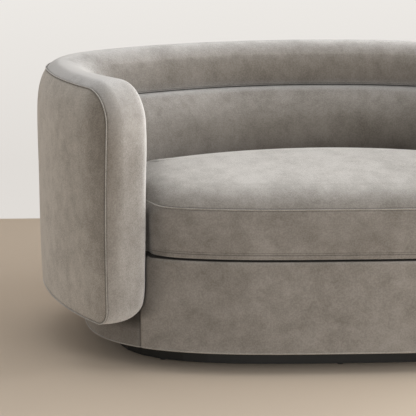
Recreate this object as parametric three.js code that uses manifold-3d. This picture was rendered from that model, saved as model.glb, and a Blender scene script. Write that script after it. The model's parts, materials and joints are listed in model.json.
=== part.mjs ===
import * as THREE from 'three';
import { mergeVertices } from 'three/addons/utils/BufferGeometryUtils.js';
import Module from 'manifold-3d';

// A curved two-seat sofa: an upholstered shell bent round a platform, with a loose seat cushion.
// Millimetres. The sofa faces -Y, +Z is up, and the origin is on the floor under its middle.

const wasm = await Module();
wasm.setup();

// Shell, seen from above: three arcs a side, each tangent to the next, from the back to the nose.
const backRadius = 1110;
const cornerRadius = 290;
const sideRadius = 830;
const backTurn = THREE.MathUtils.degToRad(37);
const cornerTurn = THREE.MathUtils.degToRad(62);
const sideTurn = THREE.MathUtils.degToRad(31.5);
const rearReach = 453;

// Shell, seen from the side: a long panel with rounded ends.
const overallHeight = 740;
const shellBottom = 135;
const noseTopRadius = 105;
const noseBottomRadius = 46;

// Shell, across its thickness.
const shellThickness = 140;
const bandFlat = 95;
const bandCrest = 60;
const bandCrown = 2.2;
const bandFoam = 20;
const bandReturn = 40;
const panelFoam = 18;
const panelDrawIn = 6;
const shellPipingRadius = 2.4;
const shellPipingProud = 0.9;
const shellPipingSink = 1.56;

// Back rolls inside the shell.
const creaseDrop = 120;
const upperRollSwell = 10;
const creaseTuck = 5;
const backrestRake = 102;
const rollFoam = 22;

// Base.
const plinthHeight = 55;
const plinthInset = 83;
const baseSideInset = 120;
const baseRearInset = 48;
const baseProud = 6;
const baseSquareness = 3.2;
const baseSeamHalfWidth = 512;
const coverFoam = 12;
const seatBoxHeight = 302;

// Seat cushion.
const cushionEdgeHeight = 429.5;
const cushionCrownHeight = 481;
const cushionShoulderRise = 30;
const cushionShoulderLength = 25;
const cushionPipingRadius = 2.5;
const cushionGap = 3.5;
const cushionCornerBlend = 80;
const zipWidth = 25;
const zipThickness = 1.2;

// Boards and small parts.
const boardThickness = 15;
const railThickness = 22;
const ribThickness = 18;
const topBoardThickness = 12;
const plinthBoardThickness = 18;
const glideRadius = 8;
const glideHeight = 3;
const webbingWidth = 60;
const webbingThickness = 1.6;
const clothThickness = 1.4;
const contactGap = 0.3;
const braceClearance = 3;
const liningClearance = 2;
const cutOverrun = 20;

// Numbers of facets.
const backSteps = 7;
const cornerSteps = 7;
const sideSteps = 6;
const noseSteps = 5;
const baseSteps = 56;
const cushionSteps = 52;
const bandTurnSteps = 4;
const pipingSides = 6;
const glideSides = 12;

// Materials
function fabric(colour) {
  return new THREE.MeshStandardMaterial({ color: colour, roughness: 0.92, metalness: 0 });
}
const velvet = fabric(0x8f8a84);
const linerCloth = fabric(0x2b2a29);
const webbingCloth = fabric(0x3a3733);
const plywood = new THREE.MeshStandardMaterial({ color: 0xc7a578, roughness: 0.75, metalness: 0 });
const blackPaint = new THREE.MeshStandardMaterial({ color: 0x23211e, roughness: 0.6, metalness: 0 });
const nylon = new THREE.MeshStandardMaterial({ color: 0x1b1b1b, roughness: 0.45, metalness: 0 });

const sofa = new THREE.Group();
sofa.name = 'curved_sofa';

function addPiece(name, geometry, material) {
  const mesh = new THREE.Mesh(geometry, material);
  mesh.name = name;
  sofa.add(mesh);
  return mesh;
}

// Plan of the shell

const backRun = backRadius * backTurn;
const cornerRun = cornerRadius * cornerTurn;
const sideRun = sideRadius * sideTurn;
const halfRun = backRun + cornerRun + sideRun;

function heading(angle) {
  return new THREE.Vector2(Math.sin(angle), Math.cos(angle));
}

const backCentre = new THREE.Vector2(0, rearReach - backRadius);
const cornerCentre = backCentre.clone().addScaledVector(heading(backTurn), backRadius - cornerRadius);
const sideCentre = cornerCentre.clone()
  .addScaledVector(heading(backTurn + cornerTurn), cornerRadius - sideRadius);

// The point at a run along the outer face and a depth in from it. The run is 0 at the back's middle
// and negative on the left.
function planPoint(run, depth) {
  const side = run < 0 ? -1 : 1;
  const length = Math.abs(run);
  let centre = sideCentre;
  let radius = sideRadius;
  let angle = backTurn + cornerTurn + (length - backRun - cornerRun) / sideRadius;
  if (length < backRun) {
    centre = backCentre;
    radius = backRadius;
    angle = length / backRadius;
  } else if (length < backRun + cornerRun) {
    centre = cornerCentre;
    radius = cornerRadius;
    angle = backTurn + (length - backRun) / cornerRadius;
  }
  const point = centre.clone().addScaledVector(heading(angle), radius - depth);
  point.x *= side;
  return point;
}

function shellPoint(run, depth, height) {
  const plan = planPoint(run, depth);
  return new THREE.Vector3(plan.x, plan.y, height);
}

// Runs of the facets from the middle to where a nose of the given radius begins.
function halfStations(noseRadius) {
  const stations = [];
  for (let i = 1; i <= backSteps; i++) {
    stations.push(backRun * i / backSteps);
  }
  for (let i = 1; i <= cornerSteps; i++) {
    stations.push(backRun + cornerRun * i / cornerSteps);
  }
  const flatEnd = halfRun - noseRadius;
  const sideStart = backRun + cornerRun;
  for (let i = 1; i <= sideSteps; i++) {
    stations.push(sideStart + (flatEnd - sideStart) * i / sideSteps);
  }
  return stations;
}

// Shared facet runs between two places on the shell, with both ends.
function stationsBetween(from, to) {
  const half = halfStations(0);
  const all = [...half.map((run) => -run).reverse(), 0, ...half];
  const inside = all.filter((run) => run > from + contactGap && run < to - contactGap);
  return [from, ...inside, to];
}

// Half of one long edge of the shell's side view: run and height, at an inset from its outline.
function halfEdge(noseRadius, edgeHeight, inward, inset) {
  const points = halfStations(noseRadius).map((run) => ({ run, height: edgeHeight + inward * inset }));
  for (let i = 1; i <= noseSteps; i++) {
    const angle = Math.PI / 2 * i / noseSteps;
    points.push({
      run: halfRun - noseRadius + (noseRadius - inset) * Math.sin(angle),
      height: edgeHeight + inward * (noseRadius - (noseRadius - inset) * Math.cos(angle)),
    });
  }
  return points;
}

// Both long edges as columns that stand over each other, from the left nose to the right one.
function shellColumns(inset) {
  const top = halfEdge(noseTopRadius, overallHeight, -1, inset);
  const bottom = halfEdge(noseBottomRadius, shellBottom, 1, inset);
  const columns = [{
    top: { run: 0, height: overallHeight - inset },
    bottom: { run: 0, height: shellBottom + inset },
  }];
  for (let i = 0; i < top.length; i++) {
    const left = {
      top: { run: -top[i].run, height: top[i].height },
      bottom: { run: -bottom[i].run, height: bottom[i].height },
    };
    columns.unshift(left);
    columns.push({ top: top[i], bottom: bottom[i] });
  }
  return columns;
}

const panelRowShares = [0, 0.08, 0.35, 0.65, 0.92, 1];

// One closed loop round the shell's outline, with the same facets as its columns.
function shellLoop(inset) {
  const columns = shellColumns(inset);
  const first = columns[0];
  const last = columns[columns.length - 1];
  const inner = panelRowShares.slice(1, -1);
  const between = (column, share) => ({
    run: THREE.MathUtils.lerp(column.bottom.run, column.top.run, share),
    height: THREE.MathUtils.lerp(column.bottom.height, column.top.height, share),
  });
  return [
    ...columns.map((column) => column.top),
    ...[...inner].reverse().map((share) => between(last, share)),
    ...[...columns].reverse().map((column) => column.bottom),
    ...inner.map((share) => between(first, share)),
  ];
}

// Solids from points

// Turns a triangle list so that its faces point out.
function closedGeometry(points, triangles) {
  let volume = 0;
  for (const [a, b, c] of triangles) {
    volume += points[a].dot(points[b].clone().cross(points[c]));
  }
  const index = volume < 0 ? triangles.flatMap(([a, b, c]) => [a, c, b]) : triangles.flat();
  const geometry = new THREE.BufferGeometry();
  geometry.setAttribute('position', new THREE.Float32BufferAttribute(points.flatMap((p) => p.toArray()), 3));
  geometry.setIndex(index);
  return geometry;
}

// Triangles over a flat or nearly flat ring of points.
function capTriangles(ring, offset) {
  const normal = new THREE.Vector3();
  ring.forEach((point, i) => {
    const next = ring[(i + 1) % ring.length];
    normal.add(point.clone().cross(next));
  });
  normal.normalize();
  const across = ring[1].clone().sub(ring[0]);
  across.addScaledVector(normal, -across.dot(normal)).normalize();
  const up = normal.clone().cross(across);
  const flat = ring.map((point) => new THREE.Vector2(point.dot(across), point.dot(up)));
  return THREE.ShapeUtils.triangulateShape(flat, []).map((face) => face.map((i) => i + offset));
}

// A skin through equal rings of points, closed in a loop or capped at both ends.
function loft(rings, loops) {
  const count = rings[0].length;
  const triangles = [];
  const spans = loops ? rings.length : rings.length - 1;
  for (let i = 0; i < spans; i++) {
    const here = i * count;
    const there = ((i + 1) % rings.length) * count;
    for (let j = 0; j < count; j++) {
      const next = (j + 1) % count;
      triangles.push([here + j, here + next, there + next]);
      triangles.push([here + j, there + next, there + j]);
    }
  }
  if (!loops) {
    const lastOffset = (rings.length - 1) * count;
    capTriangles(rings[0], 0).forEach(([a, b, c]) => triangles.push([a, c, b]));
    capTriangles(rings[rings.length - 1], lastOffset).forEach((face) => triangles.push(face));
  }
  return closedGeometry(rings.flat(), triangles);
}

// A plate between two grids of points that have the same rows and columns.
function plate(front, back) {
  const rows = front[0].length;
  const rings = front.map((column, k) => [...column, ...[...back[k]].reverse()]);
  const triangles = [];
  const count = rows * 2;
  for (let k = 0; k < rings.length - 1; k++) {
    for (let j = 0; j < count; j++) {
      const next = (j + 1) % count;
      const here = k * count;
      const there = here + count;
      triangles.push([here + j, here + next, there + next]);
      triangles.push([here + j, there + next, there + j]);
    }
  }
  for (let j = 0; j < rows - 1; j++) {
    const far = count - 1 - j;
    const last = (rings.length - 1) * count;
    triangles.push([j, far, far - 1]);
    triangles.push([j, far - 1, j + 1]);
    triangles.push([last + j, last + far - 1, last + far]);
    triangles.push([last + j, last + j + 1, last + far - 1]);
  }
  return closedGeometry(rings.flat(), triangles);
}

// A block with a given plan, between two heights.
function prism(outline, bottom, top) {
  const shape = new THREE.Shape(outline);
  const geometry = new THREE.ExtrudeGeometry(shape, { depth: top - bottom, bevelEnabled: false });
  geometry.translate(0, 0, bottom);
  return welded(geometry);
}

function welded(geometry) {
  geometry.deleteAttribute('normal');
  geometry.deleteAttribute('uv');
  return mergeVertices(geometry);
}

// A bent board that follows the shell between two runs, two depths and two heights.
function curvedBoard(runs, depths, heights) {
  const stations = stationsBetween(runs[0], runs[1]);
  const outer = stations.map((run) => planPoint(run, depths[0]));
  const inner = stations.map((run) => planPoint(run, depths[1])).reverse();
  return prism([...outer, ...inner], heights[0], heights[1]);
}

// Booleans

function solidOf(geometry) {
  return new wasm.Manifold(new wasm.Mesh({
    numProp: 3,
    vertProperties: new Float32Array(geometry.getAttribute('position').array),
    triVerts: new Uint32Array(geometry.index.array),
  }));
}

function geometryOf(solid) {
  const mesh = solid.getMesh();
  const geometry = new THREE.BufferGeometry();
  geometry.setAttribute('position', new THREE.Float32BufferAttribute(mesh.vertProperties, 3));
  geometry.setIndex(Array.from(mesh.triVerts));
  return geometry;
}

function cut(geometry, cutters) {
  return geometryOf(cutters.reduce((solid, cutter) => solid.subtract(solidOf(cutter)), solidOf(geometry)));
}

// Plan of the base

// Its rear and sides are set in from the shell, and its front passes just ahead of the noses' inner edges.
const noseInner = planPoint(halfRun, shellThickness);
const baseHalfWidth = cornerCentre.x + cornerRadius - baseSideInset;
const baseRear = rearReach - baseRearInset;
const noseShare = Math.pow(1 - Math.pow(noseInner.x / baseHalfWidth, baseSquareness), 1 / baseSquareness);
const baseHalfDepth = (baseRear - noseInner.y + baseProud) / (1 + noseShare);
const baseCentreY = baseRear - baseHalfDepth;

function baseDistance(angle) {
  const across = Math.pow(Math.abs(Math.cos(angle)) / baseHalfWidth, baseSquareness);
  const along = Math.pow(Math.abs(Math.sin(angle)) / baseHalfDepth, baseSquareness);
  return Math.pow(across + along, -1 / baseSquareness);
}

// The way the base's outline faces in one direction from its centre.
function baseNormal(angle) {
  const power = baseSquareness - 1;
  const reach = baseDistance(angle);
  const x = reach * Math.cos(angle);
  const y = reach * Math.sin(angle);
  return new THREE.Vector2(
    Math.sign(x) * Math.pow(Math.abs(x) / baseHalfWidth, power) / baseHalfWidth,
    Math.sign(y) * Math.pow(Math.abs(y) / baseHalfDepth, power) / baseHalfDepth,
  ).normalize();
}

// The point of the base's outline that lies in one direction from its centre, at an inset.
function basePoint(angle, inset) {
  const reach = baseDistance(angle);
  const point = new THREE.Vector2(reach * Math.cos(angle), baseCentreY + reach * Math.sin(angle));
  return point.addScaledVector(baseNormal(angle), -inset);
}

// How far the outline's inset lies from the centre in one direction.
function baseInsetDistance(angle, inset) {
  const slant = baseNormal(angle).dot(new THREE.Vector2(Math.cos(angle), Math.sin(angle)));
  return baseDistance(angle) - inset / slant;
}

function baseOutline(inset) {
  const points = [];
  for (let i = 0; i < baseSteps; i++) {
    points.push(basePoint(2 * Math.PI * (i + 0.5) / baseSteps, inset));
  }
  return points;
}

// The direction from the base's centre to its front edge at one distance across.
function frontAngle(x) {
  const share = Math.pow(1 - Math.pow(Math.abs(x) / baseHalfWidth, baseSquareness), 1 / baseSquareness);
  return Math.atan2(-baseHalfDepth * share, x);
}

// Directions between two others, with both ends, on the outline's facets.
function anglesBetween(from, to) {
  const step = 2 * Math.PI / baseSteps;
  const least = step / 8;
  const angles = [from];
  const first = (Math.ceil(from / step - 0.5) + 0.5) * step;
  for (let angle = first; angle < to - least; angle += step) {
    if (angle > from + least) {
      angles.push(angle);
    }
  }
  angles.push(to);
  return angles;
}

// The nearest corner of the outline's facets to a direction.
function facetAngle(angle) {
  const step = 2 * Math.PI / baseSteps;
  return (Math.round(angle / step - 0.5) + 0.5) * step;
}

function baseArcBoard(angles, insets, heights) {
  const outer = angles.map((angle) => basePoint(angle, insets[0]));
  const inner = angles.map((angle) => basePoint(angle, insets[1])).reverse();
  return prism([...outer, ...inner], heights[0], heights[1]);
}

// Inside of the shell

// How much of the back's rake is left at a place along the shell: all of it behind, none at the nose.
function rakeShare(run) {
  const start = backRun + cornerRun;
  const end = halfRun - noseTopRadius / 2;
  return 1 - THREE.MathUtils.smoothstep(Math.abs(run), start, end);
}

function seatWallDepth(run) {
  return shellThickness + backrestRake * rakeShare(run);
}

// Where a ray from the base's centre meets the shell's inner face, whose depth may change along it.
function wallDistance(angle, depthAt) {
  const direction = new THREE.Vector2(Math.abs(Math.cos(angle)), Math.sin(angle));
  const origin = new THREE.Vector2(0, baseCentreY);
  const sideStart = backTurn + cornerTurn;
  const sideRunStart = backRun + cornerRun;
  const arcs = [
    { centre: backCentre, radius: backRadius, start: 0, turn: backTurn, run: 0 },
    { centre: cornerCentre, radius: cornerRadius, start: backTurn, turn: cornerTurn, run: backRun },
    { centre: sideCentre, radius: sideRadius, start: sideStart, turn: Math.PI, run: sideRunStart },
  ];
  const passes = 16;
  const angleSlack = 1e-9;
  let depth = depthAt(0);
  let distance = Infinity;
  for (let pass = 0; pass < passes; pass++) {
    distance = Infinity;
    let run = halfRun;
    for (const arc of arcs) {
      const toCentre = arc.centre.clone().sub(origin);
      const along = toCentre.dot(direction);
      const reach = arc.radius - depth;
      const inside = along * along - toCentre.lengthSq() + reach * reach;
      if (inside < 0) {
        continue;
      }
      const reached = along + Math.sqrt(inside);
      const hit = origin.clone().addScaledVector(direction, reached).sub(arc.centre);
      const turned = Math.atan2(hit.x, hit.y) - arc.start;
      if (reached > 0 && turned >= -angleSlack && turned < arc.turn) {
        distance = reached;
        run = arc.run + turned * arc.radius;
      }
    }
    depth = depthAt(run);
  }
  return distance;
}

// The smaller of two lengths, with the corner between them rounded over a given length.
function roundedMin(a, b, rounding) {
  const overlap = Math.max(rounding - Math.abs(a - b), 0) / rounding;
  return Math.min(a, b) - overlap * overlap * rounding / 4;
}

// An outline that fills the seat: the base's front, and the shell's inner face everywhere else.
function seatOutline(steps, frontInset, wallGap, depthAt, rounding) {
  const points = [];
  for (let i = 0; i < steps; i++) {
    const angle = 2 * Math.PI * (i + 0.5) / steps;
    const wall = wallDistance(angle, (run) => depthAt(run) + wallGap);
    const reach = roundedMin(baseInsetDistance(angle, frontInset), wall, rounding);
    points.push(new THREE.Vector2(reach * Math.cos(angle), baseCentreY + reach * Math.sin(angle)));
  }
  return points;
}

// Run along the shell's right half at which a depth reaches a given distance from one axis.
function runWhere(reached) {
  const halvings = 40;
  let low = 0;
  let high = halfRun;
  for (let i = 0; i < halvings; i++) {
    const middle = (low + high) / 2;
    if (reached(middle)) {
      high = middle;
    } else {
      low = middle;
    }
  }
  return low;
}

// Heights of the base's layers, each resting on the one below.
const boardBottom = plinthHeight + contactGap + clothThickness + contactGap;
const rimBottom = boardBottom + boardThickness + contactGap;
const platformTop = shellBottom - contactGap;
const topBoardBottom = platformTop - topBoardThickness;
const rimTop = topBoardBottom - contactGap;
const railBottom = platformTop + contactGap;
const railTop = seatBoxHeight - coverFoam;
const webbingLevel = railTop + contactGap + webbingThickness / 2;
const webbingLift = webbingThickness + 2 * contactGap;
const deckBottom = webbingLevel + webbingLift + webbingThickness / 2 + contactGap;
const deckTop = seatBoxHeight;

// Four bent boards that meet near the base's corners.
function baseFrame(name, insets, heights, material) {
  const cornerShare = 0.85;
  const corner = facetAngle(Math.atan2(baseHalfDepth, baseHalfWidth) * cornerShare);
  const mitre = contactGap * 2 / baseHalfDepth;
  const spans = {
    right: [-corner + mitre, corner - mitre],
    rear: [corner, Math.PI - corner],
    left: [Math.PI - corner + mitre, Math.PI + corner - mitre],
    front: [Math.PI + corner, 2 * Math.PI - corner],
  };
  for (const [place, [from, to]] of Object.entries(spans)) {
    addPiece(`${name}_${place}`, baseArcBoard(anglesBetween(from, to), insets, heights), material);
  }
}

// Plinth: four bent boards and two braces, painted black, on nylon glides.
function plinthBoards() {
  const heights = [glideHeight + contactGap, plinthHeight];
  baseFrame('plinth', [plinthInset, plinthInset + plinthBoardThickness], heights, blackPaint);
}

function plinthBraces() {
  const braceOffsetShare = 1 / 3;
  const height = plinthHeight - glideHeight - contactGap;
  const inset = plinthInset + plinthBoardThickness + contactGap;
  for (const [name, side] of [['plinth_brace_left', -1], ['plinth_brace_right', 1]]) {
    const x = side * baseHalfWidth * braceOffsetShare;
    const angle = frontAngle(x + side * plinthBoardThickness / 2);
    const front = basePoint(angle, inset).y + braceClearance;
    const rear = 2 * baseCentreY - front;
    const brace = new THREE.BoxGeometry(plinthBoardThickness, rear - front, height);
    brace.translate(x, (front + rear) / 2, plinthHeight - height / 2);
    addPiece(name, welded(brace), blackPaint);
  }
}

function floorGlides() {
  const glideAngleShares = [0.1, 0.25, 0.4, 0.6, 0.75, 0.9];
  glideAngleShares.forEach((share, i) => {
    const place = basePoint(2 * Math.PI * share, plinthInset + plinthBoardThickness / 2);
    const glide = new THREE.CylinderGeometry(glideRadius, glideRadius, glideHeight, glideSides);
    glide.rotateX(Math.PI / 2);
    glide.translate(place.x, place.y, glideHeight / 2);
    addPiece(`floor_glide_${i + 1}`, welded(glide), nylon);
  });
}

// Platform: a ply torsion box with a dust cover below.
function platform() {
  const edge = coverFoam;
  const cloth = [plinthHeight + contactGap, plinthHeight + contactGap + clothThickness];
  addPiece('dust_cover', prism(baseOutline(edge), cloth[0], cloth[1]), linerCloth);
  addPiece('base_board', prism(baseOutline(edge), boardBottom, boardBottom + boardThickness), plywood);
  const rimWidth = 2 * railThickness;
  baseFrame('platform_rim', [edge, edge + rimWidth], [rimBottom, rimTop], plywood);
  addPiece('platform_top', prism(baseOutline(edge), topBoardBottom, platformTop), plywood);
  const bearerPlaceShares = { left: -0.5, centre: 0, right: 0.5 };
  const inset = edge + rimWidth + contactGap;
  for (const [name, share] of Object.entries(bearerPlaceShares)) {
    const x = share * baseHalfWidth;
    const angle = frontAngle(Math.abs(x) + ribThickness / 2);
    const front = basePoint(angle, inset).y + braceClearance;
    const rear = 2 * baseCentreY - front;
    const bearer = new THREE.BoxGeometry(ribThickness, rear - front, rimTop - rimBottom);
    bearer.translate(x, (front + rear) / 2, (rimTop + rimBottom) / 2);
    addPiece(`platform_bearer_${name}`, welded(bearer), plywood);
  }
}

// Base covers: padded fabric, one piece across the front and one round the rest, sewn under the noses.
function baseCovers() {
  const hem = plinthHeight + contactGap;
  const rounding = coverFoam / 2;
  const hemTuckShare = 1 / 3;
  const shoulderShares = [1 / 2, 1 / 4];
  const section = (top) => [
    [rounding * hemTuckShare, hem],
    [0, hem + rounding],
    [0, top - rounding],
    [rounding * shoulderShares[0], top - rounding * shoulderShares[1]],
    [coverFoam - contactGap, top],
    [coverFoam - contactGap, hem],
  ];
  const ringAt = (angle, top) => section(top).map(([inset, height]) => {
    const place = basePoint(angle, inset);
    return new THREE.Vector3(place.x, place.y, height);
  });
  const seam = frontAngle(baseSeamHalfWidth);
  const seamGap = contactGap / baseHalfDepth;
  const turn = 2 * Math.PI;
  const frontSpan = anglesBetween(-Math.PI - seam + turn, seam + turn);
  const sideSpan = anglesBetween(seam + seamGap, Math.PI - seam - seamGap);
  const front = loft(frontSpan.map((angle) => ringAt(angle, seatBoxHeight - contactGap)), false);
  const noseDepths = [-cutOverrun, shellThickness + contactGap * 2];
  const noseHeights = [platformTop, seatBoxHeight + cutOverrun];
  const keepOuts = [-1, 1].map((side) => {
    const runs = [side * (halfRun - noseTopRadius), side * (halfRun + cutOverrun)].sort((a, b) => a - b);
    return curvedBoard(runs, noseDepths, noseHeights);
  });
  addPiece('base_front_cover', cut(front, keepOuts), velvet);
  addPiece('base_side_cover', loft(sideSpan.map((angle) => ringAt(angle, platformTop)), false), velvet);
}

// Seat box: bent rails on the platform, with a straight-sided front rail.
function seatRails() {
  const heights = [railBottom, railTop];
  const wall = shellThickness + liningClearance;
  const depths = [wall, wall + railThickness];
  const sideEnd = halfRun - noseTopRadius;
  const frontRailSetback = 2 * railThickness;
  addPiece('seat_rail_rear', curvedBoard([-backRun, backRun], depths, heights), plywood);
  addPiece('seat_rail_left', curvedBoard([-sideEnd, -backRun - contactGap], depths, heights), plywood);
  addPiece('seat_rail_right', curvedBoard([backRun + contactGap, sideEnd], depths, heights), plywood);
  const reach = facetAngle(frontAngle(noseInner.x - frontRailSetback));
  const turn = 2 * Math.PI;
  const span = anglesBetween(-Math.PI - reach + turn, reach + turn);
  addPiece('seat_rail_front', baseArcBoard(span, [coverFoam, coverFoam + railThickness], heights), plywood);
}

// A strap of webbing that goes over and under the straps that it crosses.
function strap(from, to, crossings, liftedFirst, toPoint) {
  const slope = webbingThickness * 2;
  const flat = webbingWidth / 2 + slope;
  const line = [[from, 0]];
  crossings.forEach((place, i) => {
    const level = (i % 2 === 0) === liftedFirst ? webbingLift : 0;
    line.push([place - flat, level], [place + flat, level]);
  });
  line.push([to, 0]);
  const half = webbingThickness / 2;
  const rings = line.map(([along, level]) => [
    toPoint(along, -webbingWidth / 2, webbingLevel + level - half),
    toPoint(along, webbingWidth / 2, webbingLevel + level - half),
    toPoint(along, webbingWidth / 2, webbingLevel + level + half),
    toPoint(along, -webbingWidth / 2, webbingLevel + level + half),
  ]);
  return loft(rings, false);
}

function seatWebbing() {
  const depth = shellThickness + liningClearance + railThickness / 2;
  const lengthwisePlaceShares = [-0.56, -0.28, 0, 0.28, 0.56];
  const crosswisePlaceShares = [-0.6, -0.2, 0.2];
  const strapXs = lengthwisePlaceShares.map((share) => share * baseHalfWidth);
  const strapYs = crosswisePlaceShares.map((share) => baseCentreY + share * baseHalfDepth);
  strapXs.forEach((x, i) => {
    const outer = Math.abs(x) + webbingWidth / 2;
    const rearRun = runWhere((run) => planPoint(run, depth).x > outer);
    const rear = planPoint(rearRun, depth).y;
    const front = basePoint(frontAngle(outer), coverFoam + railThickness / 2).y;
    const toPoint = (place, side, height) => new THREE.Vector3(x + side, place, height);
    const webbing = strap(front, rear, strapYs, i % 2 === 0, toPoint);
    addPiece(`webbing_lengthwise_${i + 1}`, webbing, webbingCloth);
  });
  strapYs.forEach((y, i) => {
    const ends = [-1, 1].map((edge) => {
      const level = y + edge * webbingWidth / 2;
      const run = runWhere((place) => planPoint(place, depth).y < level);
      return planPoint(run, depth).x;
    });
    const end = Math.min(...ends);
    const toPoint = (place, side, height) => new THREE.Vector3(place, y + side, height);
    const webbing = strap(-end, end, strapXs, i % 2 === 1, toPoint);
    addPiece(`webbing_crosswise_${i + 1}`, webbing, webbingCloth);
  });
}

function seatDeck() {
  const frontInset = coverFoam + braceClearance;
  const outline = seatOutline(baseSteps, frontInset, braceClearance, () => shellThickness, bandFoam);
  addPiece('seat_deck', prism(outline, deckBottom, deckTop), linerCloth);
}

// Shell frame: bent rails, upright ribs between them and a post at each nose.
const frameOuter = panelDrawIn + panelFoam + rollFoam / 4;
const frameInner = shellThickness - rollFoam - contactGap;
const bottomRailTop = shellBottom + bandFoam + contactGap + railThickness;
const topRailBottom = overallHeight - bandFoam - contactGap - railThickness;

function shellFrame() {
  const depths = [frameOuter, bandFlat - liningClearance];
  const bottomReach = halfRun - noseBottomRadius;
  const topReach = halfRun - noseTopRadius;
  const bottomHeights = [bottomRailTop - railThickness, bottomRailTop];
  const topHeights = [topRailBottom, topRailBottom + railThickness];
  addPiece('shell_bottom_rail', curvedBoard([-bottomReach, bottomReach], depths, bottomHeights), plywood);
  addPiece('shell_top_rail', curvedBoard([-topReach, topReach], depths, topHeights), plywood);
  const backRibShares = [0, 0.43, 0.86];
  const cornerRibShares = [0.57, 1];
  const ribStations = [
    ...backRibShares.map((share) => backRun * Math.round(share * backSteps) / backSteps),
    ...cornerRibShares.map((share) => backRun + cornerRun * Math.round(share * cornerSteps) / cornerSteps),
  ];
  const ribRuns = [...ribStations.slice(1).map((run) => -run).reverse(), ...ribStations];
  const heights = [bottomRailTop + contactGap, topRailBottom - contactGap];
  ribRuns.forEach((run, i) => {
    const runs = [run - ribThickness / 2, run + ribThickness / 2];
    addPiece(`shell_rib_${i + 1}`, curvedBoard(runs, [frameOuter, frameInner], heights), plywood);
  });
  const postHeights = [bottomRailTop + contactGap, overallHeight - noseTopRadius];
  const postEnd = halfRun - bandFoam - contactGap * 2;
  for (const [name, side] of [['arm_post_left', -1], ['arm_post_right', 1]]) {
    const runs = [side * (postEnd - ribThickness), side * postEnd].sort((a, b) => a - b);
    addPiece(name, curvedBoard(runs, depths, postHeights), plywood);
  }
}

// The seam between the outer panel and the edge band: both keep a contact gap to the piping in it.
const shellPipingInset = shellPipingRadius + shellPipingSink;
const shellPipingDepth = panelDrawIn - shellPipingProud;
const panelEdgeInset = shellPipingInset + shellPipingRadius + contactGap;
const bandEdgeDepth = shellPipingDepth + shellPipingRadius + contactGap;

// Outer panel: one padded sheet round the whole outside, drawn in where it is sewn to the band.
function outerPanel() {
  const bevel = (bandFoam - shellPipingRadius * 2) * panelFoam / bandFoam;
  const sheet = (inset, depthOf) => shellColumns(inset).map((column, k, all) => (
    panelRowShares.map((share, j) => {
      const run = THREE.MathUtils.lerp(column.bottom.run, column.top.run, share);
      const height = THREE.MathUtils.lerp(column.bottom.height, column.top.height, share);
      const edge = k === 0 || j === 0 || k === all.length - 1 || j === panelRowShares.length - 1;
      return shellPoint(run, depthOf(edge), height);
    })
  ));
  const front = sheet(panelEdgeInset, (edge) => (edge ? panelDrawIn : 0));
  const back = sheet(panelEdgeInset + bevel, () => panelDrawIn + panelFoam);
  addPiece('outer_panel', plate(front, back), velvet);
}

// Edge band: it runs over the top, down both noses and back below, and turns in to the inner face.
function bandSection() {
  const edge = bandEdgeDepth;
  const crown = (depth) => -bandCrown * Math.pow((depth - bandCrest) / (bandCrest - edge), 2);
  const outer = [edge, (edge + bandCrest) / 2, bandCrest, bandFlat].map((depth) => [depth, crown(depth)]);
  const turnIn = shellThickness - bandFlat;
  const drop = bandReturn + crown(bandFlat);
  for (let i = 1; i <= bandTurnSteps; i++) {
    const angle = Math.PI / 2 * i / bandTurnSteps;
    outer.push([bandFlat + turnIn * Math.sin(angle), -bandReturn + drop * Math.cos(angle)]);
  }
  const innerTurn = turnIn - bandFoam;
  const inner = [0, 1, 2].map((i) => {
    const angle = Math.PI / 2 * (1 - i / 2);
    return [bandFlat + innerTurn * Math.sin(angle), -bandReturn + (bandReturn - bandFoam) * Math.cos(angle)];
  });
  const hidden = [[edge + panelFoam, -bandFoam], [edge, -shellPipingInset - shellPipingRadius]];
  return [...outer, ...inner, ...hidden];
}

function edgeBand() {
  const loops = bandSection().map(([depth, rise]) => shellLoop(-rise).map(({ run, height }) => (
    shellPoint(run, depth, height)
  )));
  const rings = loops[0].map((unused, i) => loops.map((loop) => loop[i]));
  addPiece('edge_band', loft(rings, true), velvet);
}

// Piping in the seam between the outer panel and the band.
function shellPiping() {
  const rings = [];
  for (let i = 0; i < pipingSides; i++) {
    const angle = 2 * Math.PI * (i + 0.5) / pipingSides;
    const depth = shellPipingDepth + shellPipingRadius * Math.cos(angle);
    const loop = shellLoop(shellPipingInset - shellPipingRadius * Math.sin(angle));
    rings.push(loop.map(({ run, height }) => shellPoint(run, depth, height)));
  }
  addPiece('shell_piping', loft(rings[0].map((unused, i) => rings.map((ring) => ring[i])), true), velvet);
}

// Back rolls: two channels that run round the inside and fade into the arms.
const creaseHeight = overallHeight - creaseDrop;
const rollEdgeInset = bandReturn + contactGap * 2;

// A padded strip of the inner face, from the depth of each of its rows at each run.
function rollPlate(columns, rowShares, depthOf) {
  const back = shellThickness - rollFoam;
  const grid = (depthAt) => columns.map(({ run, low, high }) => rowShares.map((share, row) => (
    shellPoint(run, depthAt(run, share, row), THREE.MathUtils.lerp(low, high, share))
  )));
  return plate(grid(depthOf), grid(() => back));
}

function noseFadeShare(run) {
  const fadeLength = noseTopRadius * 1.5;
  return 1 - THREE.MathUtils.smoothstep(Math.abs(run), halfRun - fadeLength, halfRun - bandReturn);
}

function upperRoll() {
  const low = creaseHeight + contactGap;
  const columns = shellColumns(rollEdgeInset).map(({ top }) => ({ run: top.run, low, high: top.height }));
  const rowShares = [0, 0.08, 0.3, 0.65, 1];
  const swellShares = [-0.6, 0.7, 1, 0.8, 0];
  const depthOf = (run, share, row) => (
    shellThickness + upperRollSwell * swellShares[row] * noseFadeShare(run)
  );
  addPiece('upper_back_roll', rollPlate(columns, rowShares, depthOf), velvet);
}

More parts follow.
